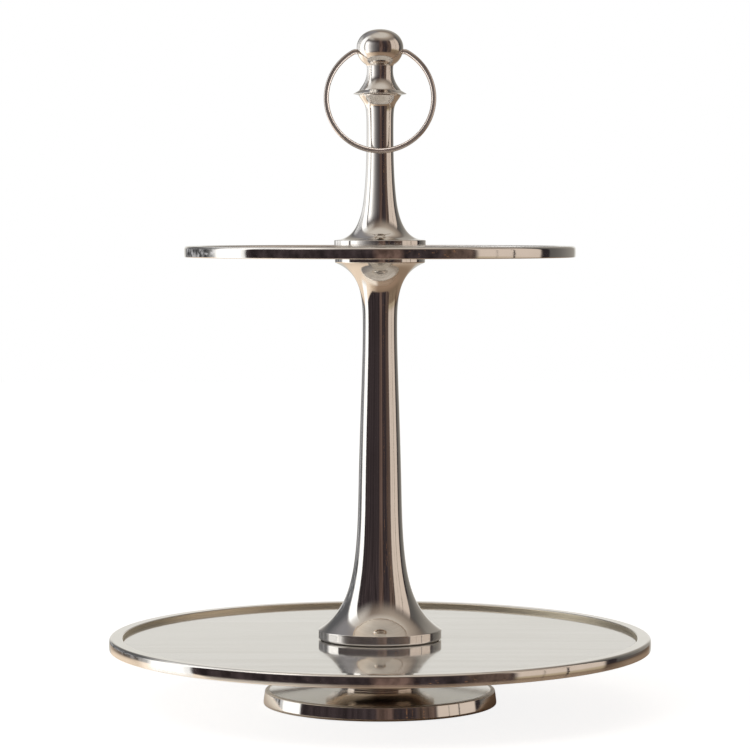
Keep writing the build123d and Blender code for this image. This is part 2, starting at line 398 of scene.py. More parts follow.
# closed outline through rounded corners, out from the relief, over the top and back through the hole;
# the edge is widest a given share of the way up; here and below, s is the piece's own dictionary
def footOutline(s):
    widestZ = s["low"] + s["widest"] * (s["edgeTop"] - s["low"])
    corners = [
        (s["reliefR"], s["low"]), (s["feltIn"], s["low"]), (s["feltIn"], s["feltTop"]),
        (s["feltOut"], s["feltTop"]), (s["feltOut"], s["low"]), (s["radius"] - s["crownLow"], s["low"]),
        (s["radius"], widestZ), (s["radius"] - s["crownTop"], s["edgeTop"]), (s["neckR"], s["top"]),
        (s["spigotR"], s["top"]), (s["spigotR"], s["spigotTop"]), (s["holeR"], s["spigotTop"]),
        (s["holeR"], s["pocketTop"]), (s["pocketR"], s["pocketTop"]),
        (s["pocketR"], s["reliefTop"]), (s["reliefR"], s["reliefTop"]),
    ]
    rounds = [s["smallRound"]] * len(corners)
    rounds[5:8] = s["lowRound"], s["crownRound"], s["topRound"]
    return roundedRun(corners, rounds)


footPiece = turnedPiece("footDisc", footOutline(footShape), footShape["around"])
fitted(footPiece, "foot_disc", "stand", footFinish)

# pedestal spool: a neck that flares up into a broad drum under the tray
spoolShape = dict(
    low=footShape["top"], height=27.8, radius=36.8, neckR=footShape["neckR"], band=16.3, around=192,
    neckBand=0.3, neckLean=2.4, flarePull=(-10.8, -3.5), flareBack=1.0, flareSteps=48,
    edge=0.5, topRound=0.3, seatRound=0.08, socketR=12.05, socketTop=5.3, socketRound=0.15, holeR=4.3,
)


# closed outline: short neck, cubic flare to the drum's lower edge, drum, then hole and socket inside
def spoolOutline(s):
    hole, socket, height = s["holeR"], s["socketR"], s["height"]
    neck = np.array((s["neckR"], 0.0))
    neckTop = neck + (0, s["neckBand"])
    edge = np.array((s["radius"], height - s["band"]))
    pull = edge + s["flarePull"]
    end = edge - s["flareBack"] * heading(pull, edge)
    seat = openRun([(socket, 0), neck, neckTop], s["seatRound"])
    flare = cubicRun(neckTop, neck + (0, s["neckLean"]), pull, end, s["flareSteps"])
    drum = openRun([end, edge, (s["radius"], height), (hole, height)], s["edge"], s["topRound"])
    innerCorners = [(hole, height), (hole, s["socketTop"]), (socket, s["socketTop"]), (socket, 0)]
    inner = openRun(innerCorners, s["socketRound"], s["socketRound"])
    return joinRuns(seat, flare, drum, inner[:-1]) + (0, s["low"])


spoolPiece = turnedPiece("pedestalSpool", spoolOutline(spoolShape), spoolShape["around"])
# the spool takes the darkened nickel, whose darker tint is painted shade
fitted(spoolPiece, "pedestal_spool", "stand", spoolPaintedShadeFinish)

# tray rim: crowned outer edge, rounded top, lip over the sheet
rimShape = dict(
    width=9.3, drop=2.7, ledge=0.75, lap=4.25, crown=0.22, widest=0.4, around=320, arcSteps=9,
    wallRound=26.0, topRound=1.9, innerRound=1.3, lowRound=0.6, backRound=0.15, ledgeRound=0.12,
)


# closed outline through rounded corners: back, outer wall, top, lip and ledge
def rimOutline(s, tray):
    top = tray["floorZ"] + s["drop"]
    low = top - tray["height"]
    radius, lip = tray["radius"], tray["radius"] - s["width"]
    back, wall = lip + s["lap"], radius - s["crown"]
    ledge = tray["floorZ"] - s["ledge"]
    corners = [
        (back, low), (wall, low), (radius, low + tray["height"] * s["widest"]), (wall, top),
        (lip, top), (lip, ledge), (back, ledge),
    ]
    rounds = [
        s["backRound"], s["lowRound"], s["wallRound"], s["topRound"],
        s["innerRound"], s["ledgeRound"], s["ledgeRound"],
    ]
    return roundedRun(corners, rounds, arcSteps=s["arcSteps"])


# tray floor: flat sheet with a stepped edge under the lip and a sunk seat in the middle
sheetShape = dict(
    thick=1.5, edge=0.75, lap=4.2, gap=0.1, sink=0.3, holeR=4.3, around=320, arcSteps=5, hold=0.08,
    holeRound=0.1, edgeRound=0.15, stepRound=0.05, faceRound=0.08,
)


# closed outline through rounded corners: flat back, stepped edge, top, seat and hole
def sheetOutline(s, tray):
    lip = tray["radius"] - rimShape["width"]
    top, low = tray["floorZ"], tray["floorZ"] - s["thick"]
    step, seat = low + s["edge"], top - s["sink"]
    corners = [
        (s["holeR"], low), (lip + s["lap"], low), (lip + s["lap"], step), (lip - s["gap"], step),
        (lip - s["gap"], top), (tray["seatR"], top), (tray["seatR"], seat), (s["holeR"], seat),
    ]
    rounds = [
        s["holeRound"], s["edgeRound"], s["edgeRound"], s["stepRound"],
        s["faceRound"], s["faceRound"], s["stepRound"], s["holeRound"],
    ]
    return roundedRun(corners, rounds, arcSteps=s["arcSteps"], hold=s["hold"])


rimNickel = dict(turnedNickel, tarnishPast=(0.0006, 0.0002), tarnishRough=0.4)
trays = [
    dict(
        label="lower", radius=178.0, floorZ=43.1, height=7.9, seatR=41.0,
        tarnish=(0.68, 0.61, 0.47), underRough=0.0,
    ),
    dict(
        label="upper", radius=128.0, floorZ=298.9, height=7.3, seatR=30.45,
        tarnish=(0.82, 0.80, 0.77), underRough=0.40,
    ),
]
for tray in trays:
    label = tray["label"]
    tarnishR = (tray["radius"] - rimShape["width"]) * mm
    rimLook = dict(rimNickel, tarnishR=tarnishR, tarnish=tray["tarnish"])
    rimFinish = makeTurnedNickel(label + "RimNickel", rimLook)
    rim = turnedPiece(label + "TrayRim", rimOutline(rimShape, tray), rimShape["around"])
    fitted(rim, label + "_tray_rim", "stand", rimFinish)
    sheetLook = dict(sheetNickel, underRough=tray["underRough"])
    sheetFinish = makeSheetNickel(label + "SheetNickel", sheetLook)
    sheet = turnedPiece(label + "TrayFloor", sheetOutline(sheetShape, tray), sheetShape["around"])
    fitted(sheet, label + "_tray_floor", "stand", sheetFinish)
print("foot, spool and trays turned")

# lower column: flange, base flare, long taper, upper trumpet, then a plain bore inside
columnShape = dict(
    low=43.4, height=253.4, around=224, flareSteps=60, taperSteps=40,
    baseR=40.6, baseBand=6.3, baseRound=1.3, baseLean=(-21.9, 14.0), edge=0.8, edgeBack=1.2,
    midR=14.26, midZ=95.3, midPull=(1.0, -50.0), midLean=(-1.0, 50.0),
    waistR=11.3, waistZ=205.3, waistPull=(0.0, -25.0), waistLean=(0.0, 20.0),
    topR=29.6, topBand=6.0, topPull=(-17.3, -7.4), topRound=0.3,
    boreR=8.0, boreRound=2.0, baseBushR=30.0, topBushR=18.0, bushRound=0.15, throat=47.0,
)


# closed outline: three cubic curves that meet in line at the middle and the waist, between two flanges,
# and a bore that opens at 45 degrees to the upper bush and more slowly to the lower one
def columnOutline(s):
    height, upper = s["height"], s["height"] - s["topBand"]
    base = np.array((s["baseR"], s["baseBand"]))
    mid = np.array((s["midR"], s["midZ"]))
    waist = np.array((s["waistR"], s["waistZ"]))
    top = np.array((s["topR"], upper))
    baseLean, topPull = base + s["baseLean"], top + s["topPull"]
    baseStart = base + s["edgeBack"] * heading(base, baseLean)
    topEnd = top - s["edgeBack"] * heading(topPull, top)
    flange = openRun([(s["baseBushR"], 0), (s["baseR"], 0), base, baseStart], s["baseRound"], s["edge"])
    flare = cubicRun(baseStart, baseLean, mid + s["midPull"], mid, s["flareSteps"])
    taper = cubicRun(mid, mid + s["midLean"], waist + s["waistPull"], waist, s["taperSteps"])
    trumpet = cubicRun(waist, waist + s["waistLean"], topPull, topEnd, s["flareSteps"])
    cap = openRun([topEnd, top, (s["topR"], height), (s["topBushR"], height)], s["edge"], s["topRound"])
    innerCorners = [
        (s["topBushR"], height), (s["topBushR"], upper), (s["boreR"], upper - s["topBushR"] + s["boreR"]),
        (s["boreR"], s["throat"]), (s["baseBushR"], s["baseBand"]), (s["baseBushR"], 0),
    ]
    inner = openRun(innerCorners, s["bushRound"], s["boreRound"], s["boreRound"], s["bushRound"])
    return joinRuns(flange, flare, taper, trumpet, cap, inner[:-1]) + (0, s["low"])


columnPiece = turnedPiece("lowerColumn", columnOutline(columnShape), columnShape["around"])
fitted(columnPiece, "lower_column", "stand", columnFinish)

# upper stem: the same form, smaller, ending in a small flare under the collar
stemShape = dict(
    low=299.2, height=100.8, around=192, flareSteps=60, taperSteps=30, topSteps=40,
    baseR=30.05, baseBand=6.3, baseLean=(-11.4, 0.6), edge=0.5, edgeBack=1.2,
    midR=10.7, midZ=33.2, midPull=(2.0, -17.4), midLean=(-1.7, 14.6),
    waistR=8.8, waistZ=78.3, waistPull=(0.0, -15.0), waistLean=(0.0, 18.9),
    topR=14.0, topPull=(-4.4, -7.3), web=4.5, holeR=4.3, holeRound=0.15,
    boreR=5.5, throatRound=1.5, bushR=20.0, bushTop=5.5,
)


# closed outline: a flange and three cubic curves outside, and inside a hole, a bore and the bush's seat
def stemOutline(s):
    height, shoulder = s["height"], s["height"] - s["web"]
    throat = s["bushTop"] + s["bushR"] - s["boreR"]
    base = np.array((s["baseR"], s["baseBand"]))
    mid = np.array((s["midR"], s["midZ"]))
    waist = np.array((s["waistR"], s["waistZ"]))
    top = np.array((s["topR"], height))
    baseLean = base + s["baseLean"]
    baseStart = base + s["edgeBack"] * heading(base, baseLean)
    flange = openRun([(s["bushR"], 0), (s["baseR"], 0), base, baseStart], s["edge"], s["edge"])
    flare = cubicRun(baseStart, baseLean, mid + s["midPull"], mid, s["flareSteps"])
    taper = cubicRun(mid, mid + s["midLean"], waist + s["waistPull"], waist, s["taperSteps"])
    trumpet = cubicRun(waist, waist + s["waistLean"], top + s["topPull"], top, s["topSteps"])
    innerCorners = [
        top, (s["holeR"], height), (s["holeR"], shoulder), (s["boreR"], shoulder), (s["boreR"], throat),
        (s["bushR"], s["bushTop"]), (s["bushR"], 0),
    ]
    small = s["holeRound"]
    inner = openRun(innerCorners, small, small, small, s["throatRound"], small)
    return joinRuns(flange, flare, taper, trumpet, inner[:-1]) + (0, s["low"])


stemPiece = turnedPiece("upperStem", stemOutline(stemShape), stemShape["around"])
fitted(stemPiece, "upper_stem", "stand", columnFinish)

# collar: a thin bevelled disc with a near knife edge
collarShape = dict(
    low=stemShape["low"] + stemShape["height"], height=3.1, radius=17.3, seatR=14.0, topR=13.7, around=160,
    edgeLow=0.7, edgeHigh=1.0, holeR=4.3, holeRound=0.1, seatRound=0.3, edgeRound=0.12, topRound=0.2,
)


# closed outline through rounded corners, from the hole out to the edge and back
def collarOutline(s):
    corners = [
        (s["holeR"], 0), (s["seatR"], 0), (s["radius"], s["edgeLow"]), (s["radius"], s["edgeHigh"]),
        (s["topR"], s["height"]), (s["holeR"], s["height"]),
    ]
    rounds = [
        s["holeRound"], s["seatRound"], s["edgeRound"], s["edgeRound"], s["topRound"], s["holeRound"],
    ]
    return roundedRun(corners, rounds) + (0, s["low"])


collarPiece = turnedPiece("finialCollar", collarOutline(collarShape), collarShape["around"])
fitted(collarPiece, "finial_collar", "stand", castFinish)

# finial: tapped hole, flared neck, flattened ball, and a cross hole for the ring's ends
finialShape = dict(
    low=collarShape["low"] + collarShape["height"], top=39.8,
    around=192, curveSteps=40, domeSteps=60, sharp=35.0,
    footR=13.7, footFlat=0.3, skirtLean=(-0.93, 2.05), neckR=8.5, neckZ=13.3, neckPull=(0.0, -7.8),
    joinR=8.65, joinZ=16.34, beadLow=(0.05, -0.35), beadEnd=(0.6, 0.37), beadRound=0.35, beadSteps=9,
    ballR=15.3, ballZ=27.8, ballLean=(4.3, 2.68), ballPull=(0.0, -4.58), domeLean=(0.0, 5.5), domeR=11.0,
    holeR=4.02, holeTop=14.6, holeTopRound=0.1, holeLowRound=0.15,
    pivotZ=25.2, pivotR=1.75, pivotIn=9.0, mouthR=2.15, mouthIn=14.55, mouthOut=15.15,
    flareR=4.15, flareOut=18.0, cutterSteps=48,
)


# open outline from the axis in the hole to the axis at the top: hole, cubic skirt, bead, and the ball
# as two cubic curves that meet upright at its widest
def finialOutline(s):
    foot = np.array((s["footR"], 0.0))
    neck = np.array((s["neckR"], s["neckZ"]))
    join = np.array((s["joinR"], s["joinZ"]))
    ball = np.array((s["ballR"], s["ballZ"]))
    beadEnd = join + s["beadEnd"]
    holeCorners = [(0, s["holeTop"]), (s["holeR"], s["holeTop"]), (s["holeR"], 0), foot - (s["footFlat"], 0)]
    hole = openRun(holeCorners, s["holeTopRound"], s["holeLowRound"])
    skirt = cubicRun(foot, foot + s["skirtLean"], neck + s["neckPull"], neck, s["curveSteps"])
    bead = openRun([neck, join + s["beadLow"], beadEnd], s["beadRound"], arcSteps=s["beadSteps"])
    under = cubicRun(beadEnd, join + s["ballLean"], ball + s["ballPull"], ball, s["curveSteps"])
    dome = cubicRun(ball, ball + s["domeLean"], (s["domeR"], s["top"]), (0, s["top"]), s["domeSteps"])
    return joinRuns(hole, skirt, bead, under, dome) + (0, s["low"])


finialPiece = turnedPiece("finialBall", finialOutline(finialShape), finialShape["around"], loop=False)


# cutter for one of the ring's holes: circles of each station's radius along X,
# wider where the rod breaks the ball's surface
def pivotCutter(s, side):
    steps = s["cutterSteps"]
    a = fullTurn(steps)
    stations = np.array([
        (s["pivotIn"], s["pivotR"]), (s["mouthIn"], s["pivotR"]),
        (s["mouthOut"], s["mouthR"]), (s["flareOut"], s["flareR"]),
    ])
    x = np.repeat(stations[:, :1], steps, axis=1) * side
    y = stations[:, 1:] * np.cos(a) * side
    z = stations[:, 1:] * np.sin(a) + s["low"] + s["pivotZ"]
    verts = np.stack([x, y, z], axis=-1).reshape(-1, 3)
    rows = len(stations)
    return meshFrom("pivotCutter", verts, gridQuads(rows, steps, False), endCaps(rows, steps))


for side in (1, -1):
    cutter = pivotCutter(finialShape, side)
    cut = finialPiece.modifiers.new("pivotHole", "BOOLEAN")
    cut.operation = "DIFFERENCE"
    cut.solver = "EXACT"
    cut.object = cutter
    bpy.context.view_layer.update()
    evaluated = finialPiece.evaluated_get(bpy.context.evaluated_depsgraph_get())
    drilled = bpy.data.meshes.new_from_object(evaluated)
    finialPiece.modifiers.clear()
    finialPiece.data = drilled
    bpy.data.objects.remove(cutter)
finialPiece.data.set_sharp_from_angle(angle=math.radians(finialShape["sharp"]))
fitted(finialPiece, "finial", "stand", ballFinish)
print("column, stem and finial turned")

# ring: wire carried along two pins, two bends and the round bail, then leaned on the stem
ringShape = dict(
    pivotZ=finialShape["low"] + finialShape["pivotZ"], ringR=35.0, wireR=1.7, drop=30.7, bendR=4.0, pinIn=9.3,
    lean=9.555, around=40, pinSteps=6, bendSteps=14, bailSteps=280, sharp=60.0,
)


# tube: each path point plus wireR times (cos a along the in-plane normal, sin a along Y),
# then turned about the pins by the lean
def ringGrid(s):
    bendX = math.sqrt((s["ringR"] - s["bendR"]) ** 2 - (s["drop"] - s["bendR"]) ** 2)
    turn = math.atan2(s["drop"] - s["bendR"], bendX)
    pin = np.stack([np.linspace(s["pinIn"], bendX, s["pinSteps"]), np.zeros(s["pinSteps"])], axis=-1)
    bend = np.linspace(np.pi / 2, turn, s["bendSteps"])
    bendRun = np.stack([bendX + s["bendR"] * np.cos(bend), s["bendR"] * (np.sin(bend) - 1)], axis=-1)
    bail = np.linspace(turn, -np.pi / 2, s["bailSteps"])
    bailRun = np.stack([s["ringR"] * np.cos(bail), s["ringR"] * np.sin(bail) - s["drop"]], axis=-1)
    half = joinRuns(pin, bendRun, bailRun)
    path = np.vstack([half, half[-2::-1] * (-1, 1)])
    ahead = np.gradient(path, axis=0)
    ahead = ahead / np.linalg.norm(ahead, axis=1, keepdims=True)
    out = np.stack([-ahead[:, 1], ahead[:, 0]], axis=-1)
    a = fullTurn(s["around"])
    x = path[:, :1] + s["wireR"] * np.cos(a) * out[:, :1]
    z = path[:, 1:] + s["wireR"] * np.cos(a) * out[:, 1:]
    y = np.repeat(s["wireR"] * np.sin(a)[None, :], len(path), axis=0)
    tilt = math.radians(s["lean"])
    leanedY = y * math.cos(tilt) + z * math.sin(tilt)
    leanedZ = z * math.cos(tilt) - y * math.sin(tilt) + s["pivotZ"]
    return np.stack([x, leanedY, leanedZ], axis=-1)


ringVerts = ringGrid(ringShape)
ringRows, ringCols = ringVerts.shape[:2]
ringQuads = gridQuads(ringRows, ringCols, False)
ringPiece = meshFrom("ringHandle", ringVerts.reshape(-1, 3), ringQuads, endCaps(ringRows, ringCols))
ringPiece.data.set_sharp_from_angle(angle=math.radians(ringShape["sharp"]))
fitted(ringPiece, "ring_handle", "ring", wireFinish)
print("ring bent")

# pieces that stay as the CAD gives them: plain finishes, each with the nodes that take it
speckle = dict(span=(0.3, 0.7), octaves=4.0, keeps=0.6, deep=0.0003)
hiddenLooks = [
    dict(
        speckle, label="greyGasket", dark=(0.15, 0.138, 0.115), pale=(0.23, 0.215, 0.18), scale=900.0,
        rough=(0.6, 0.8), metallic=0.0, bump=0.1,
        nodes=["pedestal_gasket", "column_base_gasket", "column_top_gasket", "stem_base_gasket"],
    ),
    dict(
        speckle, label="darkFelt", dark=(0.03, 0.035, 0.03), pale=(0.08, 0.09, 0.08), scale=1600.0,
        rough=(0.9, 1.0), metallic=0.0, bump=0.6, nodes=["foot_felt"],
    ),
    dict(
        speckle, label="zincSteel", dark=(0.42, 0.42, 0.40), pale=(0.58, 0.58, 0.56), scale=300.0,
        rough=(0.25, 0.42), metallic=1.0, bump=0.1, nodes=["foot_washer", "foot_nut", "tie_rod"],
    ),
    dict(
        speckle, label="castBush", dark=(0.50, 0.50, 0.50), pale=(0.62, 0.62, 0.62), scale=240.0,
        rough=(0.3, 0.5), metallic=1.0, bump=0.15,
        nodes=["column_base_bush", "column_top_bush", "stem_base_bush"],
    ),
]


# a speckle of noise drives colour, roughness and a small bump
def makeSpeckled(look):
    material, tree, shader = newMaterial(look["label"])
    speck = noiseNode(tree, placeOf(tree), look["scale"], look["octaves"], look["keeps"])
    tint = mixColour(tree, easedRange(tree, speck, *look["span"]), look["dark"], look["pale"])
    tree.links.new(tint, shader.inputs["Base Color"])
    tree.links.new(easedRange(tree, speck, *look["span"], *look["rough"]), shader.inputs["Roughness"])
    bump = addNode(tree, "ShaderNodeBump", Strength=look["bump"], Distance=look["deep"], Height=speck)
    tree.links.new(bump.outputs[0], shader.inputs["Normal"])
    shader.inputs["Metallic"].default_value = look["metallic"]
    return material


for hiddenLook in hiddenLooks:
    hiddenFinish = makeSpeckled(hiddenLook)
    for name in hiddenLook["nodes"]:
        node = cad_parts[name]
        node.data.materials.clear()
        node.data.materials.append(hiddenFinish)
print("kept nodes finished")


# room, seen in the polish: a ray's degrees from the camera's side, their size, its height as a sine,
# how far it goes right, and the sine of its turn
def roomPlaces(tree):
    axes = axesOf(tree, addNode(tree, "ShaderNodeTexCoord").outputs["Generated"])
    turn = turnOf(tree, axes)
    angle = degreesOf(tree, turn)
    wide, sideways = mathNode(tree, "ABSOLUTE", angle), mathNode(tree, "SINE", turn)
    return dict(angle=angle, wide=wide, height=axes[2], right=axes[0], sideways=sideways)


# place for a pattern on the room: angle and height, each times its own scale, and a seed
def patternPlace(tree, at, scale, seed):
    return vectorOf(tree, times(tree, at["angle"], scale[0]), times(tree, at["height"], scale[1]), seed)


# far side, behind the camera: upright streaks of clutter, two pale strips and a few warm lights
farLook = dict(
    dark=(0.041, 0.031, 0.033), strip=(0.121, 0.079, 0.066), stripAt=(-3, 13, 2.5),
    shelf=(0.106, 0.073, 0.060), shelfAt=(37, 56, 3.0),
    clutter=(1.0, 4.0, 0.65), clutterScale=(0.16, 1.4), clutterSeed=0.0, clutterSpan=(0.30, 0.70, 0.45, 1.65),
    spark=(0.966, 0.479, 0.214), sparkScale=(0.35, 14.0), sparkSeed=3.0, sparkSize=(0.05, 0.14, 1.0, 0.0),
    sparkAcross=(16, 56, 6.0), sparkUp=(-0.25, 0.30, 0.06),
)


# strips laid on the dark, times the streaks, with lights in the middles of a cell pattern
def farSide(tree, at, look):
    streakPlace = patternPlace(tree, at, look["clutterScale"], look["clutterSeed"])
    streaks = easedRange(tree, noiseNode(tree, streakPlace, *look["clutter"]), *look["clutterSpan"])
    base = mixColour(tree, between(tree, at["angle"], *look["stripAt"]), look["dark"], look["strip"])
    base = mixColour(tree, between(tree, at["angle"], *look["shelfAt"]), base, look["shelf"])
    base = mixColour(tree, 1.0, base, streaks, "MULTIPLY")
    sparkPlace = patternPlace(tree, at, look["sparkScale"], look["sparkSeed"])
    cells = addNode(tree, "ShaderNodeTexVoronoi", Vector=sparkPlace, Scale=1.0).outputs["Distance"]
    across = between(tree, at["angle"], *look["sparkAcross"])
    inPlace = times(tree, across, between(tree, at["height"], *look["sparkUp"]))
    spark = times(tree, easedRange(tree, cells, *look["sparkSize"]), inPlace)
    return mixColour(tree, spark, base, look["spark"])


# ceiling: brown ahead, paler to the right, lit to the left and overhead
ceilingLook = dict(
    left=(0.274, 0.220, 0.182), right=(0.435, 0.367, 0.307), rightSpan=(-0.35, 0.40),
    lit=(0.725, 0.679, 0.627), litSpan=(-0.28, -0.60),
    overhead=(0.66, 0.61, 0.555), overheadSpan=(0.82, 0.96), span=(0.56, 0.90),
)


# four tones mixed by how far right and how high, laid over the base by height
def addCeiling(tree, at, base, look):
    right, height = at["right"], at["height"]
    ceiling = mixColour(tree, easedRange(tree, right, *look["rightSpan"]), look["left"], look["right"])
    ceiling = mixColour(tree, easedRange(tree, right, *look["litSpan"]), ceiling, look["lit"])
    ceiling = mixColour(tree, easedRange(tree, height, *look["overheadSpan"]), ceiling, look["overhead"])
    return mixColour(tree, easedRange(tree, height, *look["span"]), base, ceiling)


# table: dark at a distance, browner and paler close by, lit towards the window
tableLook = dict(
    far=(0.068, 0.043, 0.031), mid=(0.197, 0.137, 0.094), midSpan=(-0.17, -0.32),
    near=(0.338, 0.235, 0.165), nearSpan=(-0.36, -0.62),
    left=(0.80, 0.64, 0.49), leftSpan=(-0.15, -1.05), leftUp=(-0.10, -0.30),
    backLeft=(0.95, 0.78, 0.62), backRight=(0.300, 0.216, 0.152), backSpan=(-0.5, 0.5),
    backAt=(100, 135), backUp=(-0.09, -0.17),
    lit=(1.047, 0.880, 0.713), litAt=(-122, -62, 16.0), litUp=(-0.98, -0.75),
    frontDrop=(40, 105, 0.36, 0.0), span=(-0.09, -0.135),
)


# tones mixed by depth below the horizon, side and angle; the table starts lower in front than at the sides
def addTable(tree, at, base, look):
    height, sideways = at["height"], at["sideways"]
    table = mixColour(tree, easedRange(tree, height, *look["midSpan"]), look["far"], look["mid"])
    table = mixColour(tree, easedRange(tree, height, *look["nearSpan"]), table, look["near"])
    left = easedRange(tree, sideways, *look["leftSpan"])
    table = mixColour(tree, times(tree, left, easedRange(tree, height, *look["leftUp"])), table, look["left"])
    backSide = easedRange(tree, sideways, *look["backSpan"])
    backTint = mixColour(tree, backSide, look["backLeft"], look["backRight"])
    back = easedRange(tree, at["wide"], *look["backAt"])
    table = mixColour(tree, times(tree, back, easedRange(tree, height, *look["backUp"])), table, backTint)
    lit = between(tree, at["angle"], *look["litAt"])
    table = mixColour(tree, times(tree, lit, easedRange(tree, height, *look["litUp"])), table, look["lit"])
    lowered = plus(tree, height, easedRange(tree, at["wide"], *look["frontDrop"]))
    return mixColour(tree, easedRange(tree, lowered, *look["span"]), base, table)


# right wall: beige, darker low down, with two dark uprights that waver
wallLook = dict(
    beige=(0.72, 0.61, 0.53), mid=(0.50, 0.41, 0.29), midSpan=(-0.09, -0.15),
    low=(0.26, 0.19, 0.13), lowSpan=(-0.16, -0.21), across=(58, 108, 2.0), up=(-0.42, 0.66, 0.10),
    upright=(0.03, 0.024, 0.027), firstAt=(85.2, 86.4, 0.3), secondAt=(72.6, 73.4, 0.3), secondShare=0.5,
    waver=(9.0, 1.0, 0.5), waverReach=3.0,
)


# tones mixed by height, and the uprights by an angle that noise shifts
def addWall(tree, at, base, look):
    wall = mixColour(tree, easedRange(tree, at["height"], *look["midSpan"]), look["beige"], look["mid"])
    wall = mixColour(tree, easedRange(tree, at["height"], *look["lowSpan"]), wall, look["low"])
    waverPlace = patternPlace(tree, at, farLook["clutterScale"], farLook["clutterSeed"])
    waver = times(tree, noiseNode(tree, waverPlace, *look["waver"]), look["waverReach"])
    shifted = plus(tree, at["angle"], waver)
    second = times(tree, between(tree, shifted, *look["secondAt"]), look["secondShare"])
    uprights = larger(tree, between(tree, shifted, *look["firstAt"]), second)
    wall = mixColour(tree, uprights, wall, look["upright"])
    across = between(tree, at["angle"], *look["across"])
    return mixColour(tree, times(tree, across, between(tree, at["height"], *look["up"])), base, wall)


# sides of the back, which pale towards the backdrop: a dark flag at the right, a mottled one at the left
backLook = dict(
    pale=(0.44, 0.41, 0.37), lowSpan=(-0.13, -0.085), highSpan=(0.74, 0.58),
    right=(0.03, 0.024, 0.027), rightMid=(0.11, 0.105, 0.10), rightAt=(107, 111), rightPale=(112, 184),
    rightEnd=(116, 118), rightUp=(0.22, 0.36),
    left=(0.115, 0.116, 0.122), leftAt=(-108, -114), leftPale=(-152, -180),
    mottle=(1.0, 3.0, 0.6), mottleScale=(0.24, 10.0), mottleSeed=7.0, mottleSpan=(0.42, 0.66, 0.5, 5.0),
    mottleUp=(0.30, 0.12),
    loft=(0.27, 0.265, 0.28), loftSide=(-0.02, -0.25), loftAt=(-105, -125), loftUp=(0.60, 0.90, 0.14),
)


# flags laid on level with the stand, tones mixed by angle and height, and a grey loft above the left one
def addBack(tree, at, base, look):
    angle, height = at["angle"], at["height"]
    aboveLow = easedRange(tree, height, *look["lowSpan"])
    level = times(tree, aboveLow, easedRange(tree, height, *look["highSpan"]))
    paling = mixColour(tree, easedRange(tree, angle, *look["rightPale"]), look["rightMid"], look["pale"])
    pastEnd = easedRange(tree, angle, *look["rightEnd"])
    past = larger(tree, pastEnd, easedRange(tree, height, *look["rightUp"]))
    right = mixColour(tree, past, look["right"], paling)
    base = mixColour(tree, times(tree, easedRange(tree, angle, *look["rightAt"]), level), base, right)
    mottlePlace = patternPlace(tree, at, look["mottleScale"], look["mottleSeed"])
    mottle = easedRange(tree, noiseNode(tree, mottlePlace, *look["mottle"]), *look["mottleSpan"])
    patched = mixColour(tree, easedRange(tree, height, *look["mottleUp"]), look["left"], mottle, "MULTIPLY")
    left = mixColour(tree, easedRange(tree, angle, *look["leftPale"]), patched, look["pale"])
    base = mixColour(tree, times(tree, easedRange(tree, angle, *look["leftAt"]), level), base, left)
    side = easedRange(tree, at["sideways"], *look["loftSide"])
    loft = times(tree, side, easedRange(tree, angle, *look["loftAt"]))
    return mixColour(tree, times(tree, loft, between(tree, height, *look["loftUp"])), base, look["loft"])


# window, up to its frame; the arc cards carry its light on past the frame
windowLook = dict(light=(1.050, 1.055, 1.062), start=(-115, -109), end=(-83.5, -86.0), up=(-0.60, 0.80, 0.12))


# one light tone, by angle and height
def addWindow(tree, at, base, look):
    start, end = easedRange(tree, at["angle"], *look["start"]), easedRange(tree, at["angle"], *look["end"])
    up = between(tree, at["height"], *look["up"])
    return mixColour(tree, times(tree, times(tree, start, end), up), base, look["light"])


# white backdrop: all that the camera sees of the room, and what the metal sees straight behind the stand
backdropLook = dict(
    seen=(1.0, 1.0, 1.0), pale=(0.83, 0.82, 0.78), low=(0.62, 0.61, 0.575), lowSpan=(-0.05, -0.15),
    at=(158, 170), up=(-0.36, 0.20, 0.10),
)


# a pale sweep by angle and height for mirrored rays, and plain white for the camera's own
def addBackdrop(tree, at, base, look):
    rays = addNode(tree, "ShaderNodeLightPath").outputs
    behind = times(tree, easedRange(tree, at["wide"], *look["at"]), between(tree, at["height"], *look["up"]))
    sweep = mixColour(tree, easedRange(tree, at["height"], *look["lowSpan"]), look["pale"], look["low"])
    base = mixColour(tree, times(tree, mirroredRays(tree, rays), behind), base, sweep)
    return mixColour(tree, rays["Is Camera Ray"], base, look["seen"])


# the parts of the room laid one over another, as the world's light
def makeRoom():
    world = bpy.data.worlds.new("studioRoom")
    scene.world = world
    world.use_nodes = True
    tree = world.node_tree
    tree.nodes.clear()
    at = roomPlaces(tree)
    base = farSide(tree, at, farLook)
    base = addCeiling(tree, at, base, ceilingLook)
    base = addTable(tree, at, base, tableLook)
    base = addWall(tree, at, base, wallLook)
    base = addBack(tree, at, base, backLook)
    base = addWindow(tree, at, base, windowLook)
    base = addBackdrop(tree, at, base, backdropLook)
    glow = addNode(tree, "ShaderNodeBackground", Color=base, Strength=1.0)
    tree.links.new(glow.outputs[0], addNode(tree, "ShaderNodeOutputWorld").inputs[0])


makeRoom()

# soft lamp above the left shoulder of the camera, for the floor's shadow
lampShape = dict(place=(-0.9, -0.7, 1.7), tilt=33.0, swing=-52.0, size=1.3, power=9.0)
lampData = bpy.data.lights.new("softLamp", "AREA")
lampData.size = lampShape["size"]
lampData.energy = lampShape["power"]
lamp = bpy.data.objects.new("softLamp", lampData)
lamp.location = lampShape["place"]
lamp.rotation_euler = (math.radians(lampShape["tilt"]), 0, math.radians(lampShape["swing"]))
scene.collection.objects.link(lamp)
lamp.visible_glossy = False

